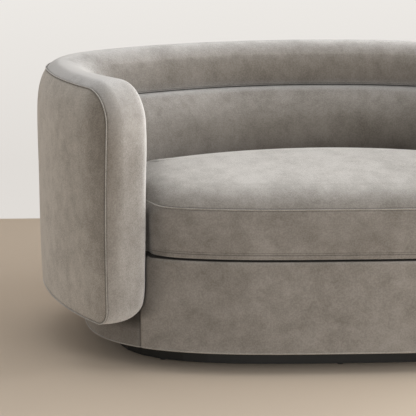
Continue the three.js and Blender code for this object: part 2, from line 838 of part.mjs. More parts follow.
function lowerRoll() {
  const low = seatBoxHeight + contactGap;
  const high = creaseHeight - contactGap;
  const columns = shellColumns(rollEdgeInset).map(({ top }) => ({ run: top.run, low, high }));
  const rowShares = [0, 0.1, 0.49, 0.72, 0.87, 0.97, 1];
  const bulgePower = 1.7;
  const fullShare = 0.51;
  const depthOf = (run, share) => {
    const fall = Math.min((1 - share) / fullShare, 1);
    const bulge = 1 - Math.pow(1 - fall, bulgePower);
    const drawIn = share === 1 ? creaseTuck * noseFadeShare(run) : 0;
    return shellThickness + backrestRake * rakeShare(run) * bulge - drawIn;
  };
  addPiece('lower_back_roll', rollPlate(columns, rowShares, depthOf), velvet);
}

function innerLining() {
  const high = seatBoxHeight - contactGap;
  const columns = shellColumns(rollEdgeInset).map(({ bottom }) => (
    { run: bottom.run, low: bottom.height, high }
  ));
  addPiece('inner_lining', rollPlate(columns, [0, 1], () => shellThickness), velvet);
}

// Seat cushion: a crowned block, drawn in at its piping and rounded under its front edge.
const cushionBottom = deckTop + contactGap;
const cushionSetback = baseProud / 2;
const pipingLevel = cushionEdgeHeight - cushionPipingRadius;
const cushionDrawIn = cushionPipingRadius * 1.7;

function cushionRing(inset, height) {
  const frontInset = cushionSetback + inset;
  const wallGap = cushionGap + inset;
  const outline = seatOutline(cushionSteps, frontInset, wallGap, seatWallDepth, cushionCornerBlend);
  return outline.map((point) => new THREE.Vector3(point.x, point.y, height));
}

// How high the top has risen at a distance in from the edge: a rounded shoulder and a slower crown.
function cushionTopHeight(inset) {
  const crownRise = cushionCrownHeight - cushionEdgeHeight - cushionShoulderRise;
  const crownPower = 3;
  const shoulder = 1 - Math.exp(-inset / cushionShoulderLength);
  const crown = 1 - Math.pow(1 - inset / baseHalfDepth, crownPower);
  return cushionEdgeHeight + cushionShoulderRise * shoulder + crownRise * crown;
}

function seatCushion() {
  const edgeRadius = coverFoam;
  const side = pipingLevel - cushionBottom;
  const lowerEdgeShares = [[2, 0], [1 / 2, 1 / 5], [1 / 8, 2 / 3]];
  const sideShares = [0.35, 0.75];
  const drawInShares = [1 / 3, 2 / 3];
  const profile = [
    ...lowerEdgeShares.map(([inward, up]) => [edgeRadius * inward, cushionBottom + edgeRadius * up]),
    ...sideShares.map((share) => [0, cushionBottom + side * share]),
    [cushionDrawIn * drawInShares[0], pipingLevel - edgeRadius * drawInShares[1]],
    [cushionDrawIn, pipingLevel - cushionPipingRadius / 2],
    [cushionDrawIn, pipingLevel + cushionPipingRadius / 2],
  ];
  const rings = profile.map(([inset, height]) => cushionRing(inset, height));
  const shoulderShares = [0.35, 0.9, 1.8, 3.2];
  for (const share of shoulderShares) {
    const inset = cushionShoulderLength * share;
    rings.push(cushionRing(inset, cushionTopHeight(inset)));
  }
  const edge = rings[rings.length - 1];
  const crownShares = [0.75, 0.48, 0.2];
  const reach = baseHalfDepth - cushionShoulderLength * shoulderShares[shoulderShares.length - 1];
  const middle = new THREE.Vector3(0, baseCentreY, 0);
  for (const share of crownShares) {
    const height = cushionTopHeight(baseHalfDepth - reach * share);
    rings.push(edge.map((point) => new THREE.Vector3(
      THREE.MathUtils.lerp(middle.x, point.x, share),
      THREE.MathUtils.lerp(middle.y, point.y, share),
      height,
    )));
  }
  addPiece('seat_cushion', loft(rings, false), velvet);
}

function cushionPiping() {
  const centreInset = cushionDrawIn - contactGap - cushionPipingRadius;
  const rings = [];
  for (let i = 0; i < pipingSides; i++) {
    const angle = 2 * Math.PI * (i + 0.5) / pipingSides;
    const inset = centreInset - cushionPipingRadius * Math.cos(angle);
    rings.push(cushionRing(inset, pipingLevel + cushionPipingRadius * Math.sin(angle)));
  }
  addPiece('cushion_piping', loft(rings[0].map((unused, i) => rings.map((ring) => ring[i])), true), velvet);
}

// Zip: the tape along the middle of the cushion's rear side, where its cover opens.
function cushionZip() {
  const turnShares = [0.14, 0.36];
  const heightShare = 0.55;
  const middle = THREE.MathUtils.lerp(cushionBottom, pipingLevel, heightShare);
  const rows = (inset) => [middle - zipWidth / 2, middle + zipWidth / 2].map((height) => (
    cushionRing(inset, height).filter((point, i) => {
      const share = (i + 0.5) / cushionSteps;
      return share > turnShares[0] && share < turnShares[1];
    })
  ));
  const face = (inset) => {
    const [low, high] = rows(inset);
    return low.map((point, i) => [point, high[i]]);
  };
  addPiece('cushion_zip', plate(face(-contactGap - zipThickness), face(-contactGap)), linerCloth);
}

floorGlides();
plinthBoards();
plinthBraces();
platform();
baseCovers();
seatRails();
seatWebbing();
seatDeck();
shellFrame();
outerPanel();
edgeBand();
shellPiping();
upperRoll();
lowerRoll();
innerLining();
seatCushion();
cushionPiping();
cushionZip();

export default sofa;
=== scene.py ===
"""A curved two-seat sofa in brushed velvet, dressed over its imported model.

Metres, +Z up, the seat faces -Y. The sections follow the sofa as it is put together, outside first.
"""

import json
import math

import bpy
import numpy as np
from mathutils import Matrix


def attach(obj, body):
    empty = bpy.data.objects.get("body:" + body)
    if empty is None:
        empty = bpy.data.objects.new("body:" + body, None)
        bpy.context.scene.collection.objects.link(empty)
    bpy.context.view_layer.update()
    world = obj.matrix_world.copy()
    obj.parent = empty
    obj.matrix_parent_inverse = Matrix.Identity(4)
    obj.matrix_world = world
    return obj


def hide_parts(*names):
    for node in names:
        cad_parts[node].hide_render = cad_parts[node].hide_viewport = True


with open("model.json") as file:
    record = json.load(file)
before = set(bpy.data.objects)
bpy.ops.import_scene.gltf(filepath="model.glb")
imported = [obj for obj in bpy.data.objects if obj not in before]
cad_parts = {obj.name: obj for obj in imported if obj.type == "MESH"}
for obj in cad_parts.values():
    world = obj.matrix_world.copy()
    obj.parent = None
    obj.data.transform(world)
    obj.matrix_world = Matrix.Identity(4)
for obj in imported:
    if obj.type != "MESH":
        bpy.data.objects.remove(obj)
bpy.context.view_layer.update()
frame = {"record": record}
scene = bpy.context.scene


# Camera
# It stands in front of the sofa's left arm at about eye height and looks slightly down, as the
# photograph does. The frame is 416 pixels square, so the focal length in pixels gives the lens.

camera_place = (-0.4753, -3.8908, 1.293)
camera_yaw, camera_pitch = 0.0381, 0.2422
focal_pixels, frame_pixels = 1469.4, 416
sensor_width = 36.0

camera_data = bpy.data.cameras.new("camera")
camera_data.sensor_width = sensor_width
camera_data.lens = sensor_width * focal_pixels / frame_pixels
camera_data.clip_end = 50.0
camera = bpy.data.objects.new("camera", camera_data)
camera.location = camera_place
camera.rotation_euler = (math.pi / 2 - camera_pitch, 0.0, -camera_yaw)
scene.collection.objects.link(camera)
scene.camera = camera


# Outer panel
# One padded sheet of velvet goes right round the outside of the shell, from one arm's nose to the
# other. It lies over thin foam on a bent frame and is drawn in where it is sewn to the edge band.

back_radius, back_turn = 1.110, math.radians(37)
corner_radius, corner_turn = 0.290, math.radians(62)
side_radius, side_turn = 0.830, math.radians(31.5)
rear_reach = 0.453
shell_top, shell_bottom = 0.740, 0.135
nose_top_radius, nose_bottom_radius = 0.105, 0.046
back_run = back_radius * back_turn
corner_run = corner_radius * corner_turn
half_run = back_run + corner_run + side_radius * side_turn

seam_start = 0.20
seam_low_depth, seam_more_depth = 0.004, 0.022
seam_low_inset, seam_more_inset = 0.006, 0.0105
seam_tuck = 0.014
turn_radius, turn_steps = 0.0018, 6
panel_reach, panel_power, panel_edge = 0.26, 5.5, 0.0046
panel_rows = 81
panel_unevenness, unevenness_blend = 0.0007, 0.05
# Painted shade beside the seam and in the turn-in.
panel_seam_shade, panel_seam_reach = 0.35, 0.0012
panel_turn_shades = (0.4, 1.0)


def plan_point(run, depth):
    """The place at a run along the shell's outer face (0 at the back's middle) and a depth in from it.

    Three tangent arcs a side: centre + (radius - depth) * (sin angle, cos angle), mirrored for a
    negative run.
    """
    run, depth = np.broadcast_arrays(np.asarray(run, float), np.asarray(depth, float))
    length = np.abs(run)
    centre_back = np.array([0.0, rear_reach - back_radius])
    toward_corner = np.array([math.sin(back_turn), math.cos(back_turn)])
    toward_side = np.array([math.sin(back_turn + corner_turn), math.cos(back_turn + corner_turn)])
    centre_corner = centre_back + (back_radius - corner_radius) * toward_corner
    centre_side = centre_corner + (corner_radius - side_radius) * toward_side
    on_back = length < back_run
    on_corner = (~on_back) & (length < back_run + corner_run)

    def by_arc(back, corner, side):
        return np.where(on_back, back, np.where(on_corner, corner, side))

    angle = by_arc(
        length / back_radius,
        back_turn + (length - back_run) / corner_radius,
        back_turn + corner_turn + (length - back_run - corner_run) / side_radius,
    )
    radius = by_arc(back_radius, corner_radius, side_radius) - depth
    centre_x = by_arc(centre_back[0], centre_corner[0], centre_side[0])
    centre_y = by_arc(centre_back[1], centre_corner[1], centre_side[1])
    x = (centre_x + radius * np.sin(angle)) * np.where(run < 0, -1.0, 1.0)
    return x, centre_y + radius * np.cos(angle)


def shell_point(run, depth, height):
    """Points of the shell from its run, depth and height, as an array with x, y, z last."""
    x, y = plan_point(run, depth)
    return np.stack(np.broadcast_arrays(x, y, np.asarray(height, float)), axis=-1)


def shell_columns(inset, flat_steps=110, nose_steps=26):
    """Runs and heights of the shell's long edges, at an inset from its side view's rounded outline.

    Half an edge is a straight stretch and a quarter circle: run = end - r + (r - inset) sin a, and the
    height falls by r - (r - inset) cos a. The other half mirrors it.
    """
    def half(radius, edge, inward):
        share = np.linspace(0, 1, flat_steps + 1)
        angle = np.linspace(0, math.pi / 2, nose_steps + 1)[1:]
        run = np.concatenate([
            share * (half_run - radius),
            half_run - radius + (radius - inset) * np.sin(angle),
        ])
        height = np.concatenate([
            np.full(flat_steps + 1, edge + inward * inset),
            edge + inward * (radius - (radius - inset) * np.cos(angle)),
        ])
        return np.concatenate([-run[:0:-1], run]), np.concatenate([height[:0:-1], height])

    return half(nose_top_radius, shell_top, -1), half(nose_bottom_radius, shell_bottom, 1)


def shell_grid(inset, shares):
    """Runs and heights over the side view, each column filled from bottom to top by its row shares."""
    (top_run, top_height), (bottom_run, bottom_height) = shell_columns(inset)
    shares = np.broadcast_to(shares, (len(top_run), np.shape(shares)[-1]))
    run = bottom_run[:, None] + (top_run - bottom_run)[:, None] * shares
    height = bottom_height[:, None] + (top_height - bottom_height)[:, None] * shares
    return run, height


def edge_distance(run, height):
    """How far a place on the side view lies inside the rounded outline, by its nearest edge."""
    def from_edge(radius, drop):
        across = np.abs(run) - (half_run - radius)
        along = radius - drop
        rounded = radius - np.hypot(np.maximum(across, 0), np.maximum(along, 0))
        straight = np.minimum(half_run - np.abs(run), drop)
        return np.where((across > 0) & (along > 0), rounded, straight)

    return np.minimum(
        from_edge(nose_top_radius, shell_top - height),
        from_edge(nose_bottom_radius, height - shell_bottom),
    )


def seam(height):
    """Depth and inset of the shell's seam: towards the top one grows by a square, the other evenly."""
    share = np.clip((height - seam_start) / (shell_top - seam_start), 0, 1)
    return seam_low_depth + seam_more_depth * share ** 2, seam_low_inset + seam_more_inset * share


def soft_rise(first, second, size):
    """A slow unevenness of hand-laid foam: a sum of sines of two directions, at most about its size."""
    waves = ((0.5, 9.1, 4.3, 0.7), (0.3, 17.0, -11.0, 2.1), (0.2, 6.0, 29.0, 4.4))
    return size * sum(share * np.sin(a * first + b * second + start) for share, a, b, start in waves)


def border(grid):
    """The rim of a grid of columns, in order: along the top, down the right, back below, up the left."""
    return np.concatenate([grid[:, -1], grid[-1, -2:0:-1], grid[::-1, 0], grid[0, 1:-1]])


class ShellSide:
    """The shell's side view, its columns filled by row shares: all of it, or its rim alone."""

    def __init__(self, shares, part=np.asarray):
        (run, height), (far_run, far_height) = shell_grid(0.0, shares), shell_grid(1.0, shares)
        self.run, self.height = part(run), part(height)
        self.inward_run, self.inward_height = part(far_run - run), part(far_height - height)
        self.seam_depth, self.seam_inset = seam(self.height)

    def at(self, inset):
        """Runs and heights at an inset from the outline."""
        return self.run + inset * self.inward_run, self.height + inset * self.inward_height

    def points(self, depth, inset):
        """Points at a depth and an inset."""
        run, height = self.at(inset)
        return shell_point(run, depth, height)

    def by_seam(self, deeper, inwards):
        """Points at a depth and an inset that are measured from the seam."""
        return self.points(self.seam_depth + deeper, self.seam_inset + inwards)


def grid_index(grid):
    """The vertex numbers of a grid of points."""
    return np.arange(grid[..., 0].size).reshape(grid.shape[:2])


def ring_index(rings, start=0):
    """The vertex numbers of rings that follow one another, a row a ring."""
    return start + np.arange(len(rings) * len(rings[0])).reshape(len(rings), -1)


def grid_quads(index):
    """Quads between the neighbours of a two-way table of vertex numbers."""
    corners = [index[:-1, :-1], index[1:, :-1], index[1:, 1:], index[:-1, 1:]]
    return np.stack(corners, axis=-1).reshape(-1, 4)


def ring_quads(rings):
    """Quads between closed rings of vertex numbers, one ring to the next."""
    nxt = np.roll(rings, -1, axis=1)
    return np.stack([rings[:-1], nxt[:-1], nxt[1:], rings[1:]], axis=-1).reshape(-1, 4)


def rimmed(grid, rings, order=1):
    """Points and quads of a grid that goes on past its rim in rings, given outwards or (-1) inwards."""
    index = grid_index(grid)
    outwards = ring_index(rings, index.size)[::order]
    quads = ring_quads(np.vstack([border(index), outwards]))
    return np.concatenate([grid.reshape(-1, 3), *rings]), grid_quads(index), quads


def new_piece(name, material, points, *faces, flip=False, painted_shading=None):
    """A smooth mesh object at the origin, from an array of points and arrays of quads or triangles.

    Painted shading, a number a point, is painted shade up to 1 in seams, creases, corners and gaps,
    0 on the open cloth and, below 0, a painted highlight along edges.
    """
    points = np.asarray(points, float).reshape(-1, 3)
    turned = [part[:, ::-1] if flip else part for part in faces]
    mesh = bpy.data.meshes.new(name)
    mesh.from_pydata(points.tolist(), [], [face for part in turned for face in part.tolist()])
    mesh.update()
    mesh.polygons.foreach_set("use_smooth", np.ones(len(mesh.polygons), dtype=bool))
    mesh.materials.append(material)
    if painted_shading is not None:
        ring_painted_shading = mesh.attributes.new("painted_shading", "FLOAT", "POINT")
        ring_painted_shading.data.foreach_set("value", np.clip(np.asarray(painted_shading, np.float32).reshape(-1), -1, 1))
    piece = bpy.data.objects.new(name, mesh)
    scene.collection.objects.link(piece)
    return piece


def new_material(name):
    """A new material, its node tree and its Principled shader."""
    material = bpy.data.materials.new(name)
    material.use_nodes = True
    return material, material.node_tree, material.node_tree.nodes["Principled BSDF"]


def fill(tree, node, inputs):
    """Gives a node its inputs, by name or number: each a value or another node's output."""
    for key, value in inputs.items():
        if isinstance(value, bpy.types.NodeSocket):
            tree.links.new(value, node.inputs[key])
        else:
            node.inputs[key].default_value = value


def add(tree, kind, inputs=None, **settings):
    """A new shader node of a kind, with its settings and its inputs."""
    node = tree.nodes.new("ShaderNode" + kind)
    for setting, value in settings.items():
        setattr(node, setting, value)
    fill(tree, node, inputs or {})
    return node


def maths(tree, operation, first, second, clamp=False):
    """The outcome of a sum on two values, each a number or another node's output."""
    node = add(tree, "Math", {0: first, 1: second}, operation=operation, use_clamp=clamp)
    return node.outputs["Value"]


def mixed(tree, share, first, second):
    """Two colours mixed, by the share of the second."""
    node = add(tree, "Mix", {"Factor": share, "A": first, "B": second}, data_type="RGBA")
    return node.outputs["Result"]


def nap_group():
    """Brushed velvet: where the pile lies the other way the cloth is lighter, in broad soft clouds.

    Colour = dark to light by clouds + patches along the brush + fine grain. Height = the pile's grain
    and a little of the patches. Nap = how much the pile stands, for the bloom.
    """
    group = bpy.data.node_groups.new("velvet_nap", "ShaderNodeTree")
    for name, kind in (("Dark", "Color"), ("Light", "Color"), ("Brush", "Vector")):
        group.interface.new_socket(name, in_out="INPUT", socket_type="NodeSocket" + kind)
    for name, kind in (("Colour", "Color"), ("Height", "Float"), ("Nap", "Float")):
        group.interface.new_socket(name, in_out="OUTPUT", socket_type="NodeSocket" + kind)
    given = group.nodes.new("NodeGroupInput").outputs
    result = group.nodes.new("NodeGroupOutput")
    place = add(group, "TexCoord").outputs["Object"]
    brushing = add(group, "VectorMath", {0: place, 1: given["Brush"]}, operation="MULTIPLY")
    brushed = brushing.outputs["Vector"]

    def noise(vector, scale, detail, rough):
        inputs = {"Vector": vector, "Scale": scale, "Detail": detail, "Roughness": rough}
        return add(group, "TexNoise", inputs).outputs["Fac"]

    def ranged(value, low, high, to_low, to_high):
        inputs = {"Value": value, "From Min": low, "From Max": high, "To Min": to_low, "To Max": to_high}
        return add(group, "MapRange", inputs).outputs["Result"]

    clouds = ranged(noise(brushed, 8.0, 4.0, 0.6), 0.35, 0.65, 0.0, 0.38)
    patches = ranged(noise(brushed, 30.0, 4.0, 0.65), 0.35, 0.65, 0.0, 0.34)
    grain = ranged(noise(place, 270.0, 1.0, 0.5), 0.36, 0.64, -0.04, 0.28)
    pile = noise(place, 900.0, 2.0, 0.6)
    total = maths(group, "ADD", maths(group, "ADD", clouds, patches), grain)
    fill(group, result, {
        "Colour": mixed(group, total, given["Dark"], given["Light"]),
        "Height": maths(group, "ADD", pile, patches),
        "Nap": ranged(total, 0.15, 0.85, 0.74, 1.24),
    })
    return group


velvet_nap = nap_group()
most_bloom = 0.76
# Painted shade: the near black that the painted shading mixes in.
painted_shade_colour = (0.016, 0.013, 0.010, 1.0)
pile_strength, pile_depth = 0.35, 0.0012


def velvet(name, brush, dark, light, bloom, spread=1.4):
    """A velvet with its pile brushed one way: streaks run where the brush vector is small.

    Seen along the cloth the pile's tips show a pale bloom: 1 - cosine of the view, to the power of
    the spread, times the nap, up to three quarters. Where the painted shading is above 0 the colour is
    mixed towards near black, painted shade; where it is below 0 a painted highlight adds to the bloom.
    """
    material, tree, shader = new_material(name)
    nap = add(tree, "Group", {"Dark": dark, "Light": light, "Brush": brush}, node_tree=velvet_nap).outputs
    pile = {"Strength": pile_strength, "Distance": pile_depth, "Height": nap["Height"]}
    normal = add(tree, "Bump", pile).outputs["Normal"]
    facing = add(tree, "LayerWeight", {"Blend": 0.5, "Normal": normal}).outputs["Facing"]
    # Each piece's painted shading: painted shade above 0, painted highlight below it.
    painted_shading = add(tree, "Attribute", attribute_name="painted_shading").outputs["Fac"]
    grazing = maths(tree, "MULTIPLY", maths(tree, "POWER", facing, spread), nap["Nap"])
    painted_highlight = maths(tree, "MULTIPLY", painted_shading, -1.0, clamp=True)
    share = maths(tree, "MINIMUM", maths(tree, "ADD", grazing, painted_highlight), most_bloom)
    fill(tree, shader, {
        "Base Color": mixed(tree, painted_shading, mixed(tree, share, nap["Colour"], bloom), painted_shade_colour),
        "Normal": normal,
        "Roughness": 0.85,
        "Specular IOR Level": 0.15,
        "Sheen Weight": 0.06,
        "Sheen Roughness": 0.42,
        "Sheen Tint": (1.0, 0.99, 0.98, 1.0),
    })
    return material


# The sofa's velvet is one cloth: the outer panel gets its darkest copy, as painted shade.
panel_velvet = velvet(
    "velvet_outside",
    brush=(1.0, 1.0, 0.8),
    dark=(0.124, 0.105, 0.082, 1.0),
    light=(0.228, 0.198, 0.163, 1.0),
    bloom=(0.84, 0.79, 0.725, 1.0),
)
panel_shares = 0.5 - 0.5 * np.cos(np.linspace(0, math.pi, panel_rows))
panel_side = ShellSide(panel_shares)
panel_inset = panel_side.seam_inset + panel_edge
panel_run, panel_height = panel_side.at(panel_inset)
panel_inside = np.maximum(edge_distance(panel_run, panel_height) - panel_inset, 0)
panel_fall = np.clip(1 - panel_inside / panel_reach, 0, 1) ** panel_power
panel_rise = soft_rise(panel_run, panel_height, panel_unevenness)
panel_rise = panel_rise * np.clip(panel_inside / unevenness_blend, 0, 1)
panel_grid = panel_side.points(panel_side.seam_depth * panel_fall - panel_rise, panel_inset)

panel_rim = ShellSide(panel_shares, border)
panel_turns = [
    panel_rim.by_seam(turn_radius * (1 - math.cos(angle)), panel_edge - turn_radius * math.sin(angle))
    for angle in np.linspace(0, math.pi / 2, turn_steps)[1:]
]
panel_turns.append(panel_rim.by_seam(seam_tuck, panel_edge - turn_radius))
# Painted shade: dark beside the seam and in the cloth that turns into it.
panel_painted_shade = np.concatenate([
    (panel_seam_shade * np.exp(-panel_inside / panel_seam_reach)).reshape(-1),
    np.repeat(np.linspace(*panel_turn_shades, len(panel_turns)), len(panel_turns[0])),
])
outer_panel = new_piece(
    "outer_panel_cover",
    panel_velvet,
    *rimmed(panel_grid, panel_turns),
    flip=True,
    painted_shading=panel_painted_shade,
)
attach(outer_panel, "sofa")
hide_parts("outer_panel")


# Shell piping
# A thin cord covered in the same velvet is sewn into the seam between the outer panel and the edge
# band. It runs right round the shell's outline and catches the light beside the seam's painted shade.

shell_piping_radius, shell_piping_sink, shell_piping_sides = 0.0015, 0.0008, 10
# The piping gets the lightest copy of the cloth, as a painted highlight along the cords.
piping_velvet = velvet(
    "velvet_piping",
    brush=(1.0, 1.0, 1.0),
    dark=(0.20, 0.18, 0.15, 1.0),
    light=(0.34, 0.31, 0.27, 1.0),
    bloom=(0.80, 0.785, 0.765, 1.0),
)


def sides(count):
    """Angles evenly round a cord."""
    return 2 * math.pi * np.arange(count) / count


def cord(name, radius, count, line, flip=False):
    """A closed cord of lines that run along it, a count of them round its circle.

    Line gives one line's points from how far in and how far up it lies: -r cos a and r sin a.
    """
    rings = [line(-radius * math.cos(angle), radius * math.sin(angle)) for angle in sides(count)]
    index = ring_index(rings)
    quads = ring_quads(np.vstack([index, index[:1]]))
    return new_piece(name, piping_velvet, np.concatenate(rings), quads, flip=flip)


def shell_line(inwards, up):
    """A line along the shell's seam."""
    return panel_rim.by_seam(shell_piping_sink + inwards, shell_piping_sink - up)


shell_piping = cord("shell_piping_cord", shell_piping_radius, shell_piping_sides, shell_line, flip=True)
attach(shell_piping, "sofa")
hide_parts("shell_piping")


# Edge band and inside
# The band is one strip of velvet sewn to the outer panel: it runs over the top, down both noses and
# back below, and turns in to the inside, where two padded rolls are sewn in channels round the back.

shell_thickness = 0.140
band_edge, band_crest, band_return, band_squareness = 0.0046, 0.063, 0.036, 3.6
crest_shares = np.concatenate([[0, 0.02, 0.045], np.linspace(0.08, 1, 14)])
return_rings = 42
backrest_rake, rake_foot = 0.102, 0.458
rake_draw, rake_draw_span = 0.014, (0.45, 1.25)
roll_depth, roll_drop, roll_roundness = 0.154, 0.090, 2.2
roll_past_corner, roll_before_nose, roll_over_crease = 0.08, 0.03, 0.1
crease_height, crease_depth, crease_fade = 0.618, 0.013, 1.3
lip_reach_below, lip_reach_above = 0.016, 0.030
crease_stitch, stitch_depth, stitch_width = 0.0075, 0.0007, 0.0012
arm_foot, arm_foot_power = 0.115, 2.6
fuller_share, fuller_height, fuller_reach = 0.075, 0.585, 0.095
slimmer_share, slimmer_height, slimmer_reach = 0.055, 0.24, 0.10
even_rows, closing_rows = 0.82, 0.18
even_steps, closing_steps, upper_steps = 26, 22, 40
inside_unevenness = 0.0010

# Amounts and spans of painted shade and painted highlight on the band and the inside.
hem_shade, hem_shade_fall = 0.8, 0.5
crest_shade, crest_shade_reach = 0.25, 0.025
arm_edge_highlight, arm_edge_low, arm_edge_high = 0.42, (0.42, 0.48), (0.66, 0.72)
arm_top_highlight, arm_top_runs, arm_top_heights = 0.17, (0.0, 0.08), (0.56, 0.71)
corner_shade, corner_shade_height, corner_shade_blend = 0.13, 0.66, 0.10
crease_shade, crease_shade_above, crease_shade_below = 0.95, 0.0026, 0.0007
stitch_shade, stitch_shade_width = 0.4, 0.0011
upper_shade, near_crease_shade, near_crease_reach = 0.09, 0.17, 0.035
lower_shade, lower_shade_span = 0.26, (0.008, 0.105)
lip_highlight, lip_below, lip_width, lip_end = 0.24, 0.0025, 0.0055, 0.0008


def smoothstep(value, start, end):
    """0 before the start, 1 past the end, and 3t^2 - 2t^3 between them."""
    t = np.clip((value - start) / (end - start), 0, 1)
    return t * t * (3 - 2 * t)


def bell(value, middle, reach):
    """1 at the middle, falling off on both sides: e^(-((value - middle) / reach)^2)."""
    return np.exp(-((value - middle) / reach) ** 2)


def rake_share(run):
    """All of the backrest's rake behind the seat, none of it at the noses."""
    return 1 - smoothstep(np.abs(run), back_run + corner_run, half_run - nose_top_radius / 2)


def roll_share(run):
    """All of the upper roll behind the seat and round the corners, none of it at the noses."""
    start = back_run + corner_run + roll_past_corner
    return 1 - smoothstep(np.abs(run), start, half_run - roll_before_nose)


def over_rim(inset, reach, drop, roundness):
    """Depth of a surface that turns over the rim from its crest, a superellipse of the given reach."""
    left = np.clip(1 - inset / drop, 0, 1)
    return band_crest + (reach - band_crest) * (1 - left ** roundness) ** (1 / roundness)


def depth_share(run, height):
    """Share of the depth past the crest at a height: a superellipse up from the bottom edge.

    The arms are also a little fuller beside the back and slimmer low down, by two bell curves.
    """
    left = np.clip(1 - (height - shell_bottom) / arm_foot, 0, 1)
    fuller = fuller_share * bell(height, fuller_height, fuller_reach)
    slimmer = slimmer_share * bell(height, slimmer_height, slimmer_reach)
    foot = (1 - left ** arm_foot_power) ** (1 / arm_foot_power)
    return foot * (1 + (1 - rake_share(run)) * (fuller - slimmer))


def inside_depth(run, height):
    """Depth of the inner face: the shell's thickness, the two rolls on it and the crease between them.

    The lower roll leans in by the rake, 1 - (1 - t)^2 of it at a share t down from the crease, and
    draws back again low down. The upper one comes over the rim as a superellipse. Both dive into the
    crease like a quarter ellipse, past a shallow row of stitches shaped like a bell curve.
    """
    fade = 1 - smoothstep(np.abs(run), half_run - nose_top_radius * crease_fade, half_run - band_return)
    below = height < crease_height
    down = np.clip((crease_height - height) / (crease_height - rake_foot), 0, 1)
    drawn = rake_draw * smoothstep(down, *rake_draw_span)
    lower = rake_share(run) * (backrest_rake * (1 - (1 - down) ** 2.0) - drawn)
    over = over_rim(shell_top - height, roll_depth, roll_drop, roll_roundness)
    upper = (over - shell_thickness) * roll_share(run)
    lip_reach = np.where(below, lip_reach_below, lip_reach_above)
    lip_depth = crease_depth + np.where(below, 0, roll_depth - shell_thickness) * roll_share(run)
    near = np.clip(np.abs(height - crease_height) / lip_reach, 0, 1)
    dive = lip_depth * (1 - np.sqrt(np.clip(1 - (1 - near) ** 2, 0, 1)))
    stitch = stitch_depth * bell(np.abs(height - crease_height), crease_stitch, stitch_width)
    depth = shell_thickness + np.where(below, lower, upper) - (dive + stitch) * fade
    return band_crest + (depth - band_crest) * depth_share(run, height)


def arm_edge(height):
    """Where a painted highlight lies along the arm's inner edge, from the seat up to the turn of the
    nose.
    """
    return smoothstep(height, *arm_edge_low) * (1 - smoothstep(height, *arm_edge_high))


def band_section(rim):
    """Rings from the seam's rolled hem over the band's crest to its return, and their painted shading.

    From hem to crest the inset falls as the square of the distance left; past the crest it follows a
    superellipse, |depth share|^n + |1 - inset share|^n = 1. Painted highlights lie along the arm's inner
    edge and on top of the arm; painted shade lies in the hem, at the crest's start and inside the corner.
    """
    rings = [rim.by_seam(band_edge - turn_radius, seam_tuck)]
    ring_painted_shading = [1.0]
    for angle in np.linspace(0, math.pi / 2, turn_steps)[:-1]:
        rings.append(rim.by_seam(
            band_edge - turn_radius * math.cos(angle),
            turn_radius * (1 - math.sin(angle)),
        ))
        ring_painted_shading.append(hem_shade - hem_shade_fall * angle / (math.pi / 2))
    for share in crest_shares:
        rings.append(rim.points(
            rim.seam_depth + band_edge + (band_crest - rim.seam_depth - band_edge) * share,
            rim.seam_inset * (1 - share) ** 2,
        ))
        ring_painted_shading.append(crest_shade * math.exp(-share / crest_shade_reach))
    for angle in np.linspace(0, math.pi / 2, return_rings + 2)[1:-1]:
        down = band_return * (1 - math.cos(angle) ** (2 / band_squareness))
        tight = over_rim(down, shell_thickness, band_return, band_squareness)
        full = over_rim(down, roll_depth, roll_drop, roll_roundness)
        level = rim.at(down)[1]
        rolled = (full - tight) * roll_share(rim.run) * (rim.height > crease_height - roll_over_crease)
        past_crest = depth_share(rim.run, level) * (tight - band_crest + rolled)
        rings.append(rim.points(band_crest + past_crest, down))
        ring_painted_shading.append(0.0)

    # Crest and inner are parts of the painted shading, and the innermost ring's heights serve for all of
    # them.
    painted_shading = np.repeat(ring_painted_shading, len(rings[0])).reshape(len(rings), -1)
    crest = painted_shading[-return_rings - len(crest_shares) + 1:-return_rings]
    inner = painted_shading[-return_rings:]
    inwards = np.linspace(0, 1, return_rings)[:, None]
    around = np.abs(rim.run) - back_run
    past_corner = smoothstep(around, corner_run - 0.02, corner_run + corner_shade_blend)
    corner = smoothstep(around, 0.0, corner_shade_blend) * (1 - past_corner)
    arm_top = smoothstep(around, *arm_top_runs) * smoothstep(level, *arm_top_heights)
    # Painted highlight along the arm's inner edge and on its top; painted shade inside the corner.
    inner -= arm_edge_highlight * smoothstep(inwards, 0.20, 1.0) * arm_edge(level)
    inner += corner_shade * smoothstep(inwards, 0.0, 0.5) * (corner * (level > corner_shade_height))
    crest -= arm_top_highlight * arm_top
    inner -= arm_top_highlight * (1 - smoothstep(inwards, 0.0, 0.6)) * arm_top
    return rings, painted_shading.reshape(-1)


(_, top_heights), (_, low_heights) = shell_columns(band_return)
lower_rows = np.concatenate([
    np.linspace(0, even_rows, even_steps)[:-1],
    even_rows + closing_rows * np.sin(np.linspace(0, math.pi / 2, closing_steps)),
])
upper_rows = 1 - np.cos(np.linspace(0, math.pi / 2, upper_steps))[1:]
crease_share = ((crease_height - low_heights) / (top_heights - low_heights))[:, None]
inside_shares = np.concatenate([
    crease_share * lower_rows,
    crease_share + (1 - crease_share) * upper_rows,
], axis=1)

inner_run, inner_height = shell_grid(band_return, inside_shares)
inner_away = np.clip((edge_distance(inner_run, inner_height) - band_return) / unevenness_blend, 0, 1)
inner_rise = soft_rise(inner_run, inner_height, inside_unevenness) * rake_share(inner_run) * inner_away
inner_grid = shell_point(inner_run, inside_depth(inner_run, inner_height) + inner_rise, inner_height)

